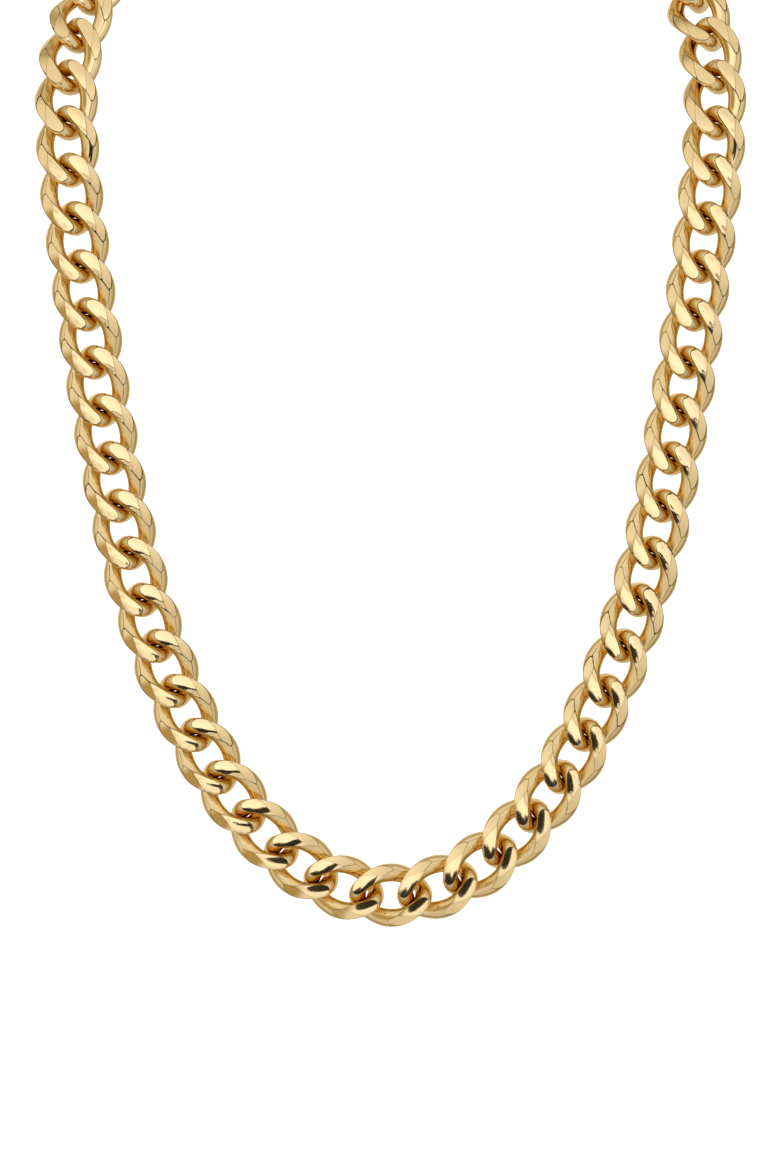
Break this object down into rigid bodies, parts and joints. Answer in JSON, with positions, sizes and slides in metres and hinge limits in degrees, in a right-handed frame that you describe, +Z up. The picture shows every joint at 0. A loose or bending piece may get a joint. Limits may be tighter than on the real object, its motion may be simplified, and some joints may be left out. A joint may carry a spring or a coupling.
{
  "type": "curb chain necklace",
  "caption": "Closed necklace of twisted, ground oval curb links, worn round a neck, with a plain box clasp at the nape.",
  "frame": {"origin": "middle of the inside of the clasp, where the necklace rests on the nape", "axes": "+Z up, -Y the way the wearer faces, so the front of the loop hangs down and forward of the origin; +X to the right as seen from in front"},
  "size_m": [0.138, 0.1243, 0.1849],
  "materials": {
    "chain_gold": "polished yellow gold plate",
    "clasp_gold": "polished yellow gold plate"
  },
  "bodies": {
    "root": {"chain_left": "chain_gold", "chain_right": "chain_gold", "clasp": "clasp_gold"}
  },
  "joints": []
}
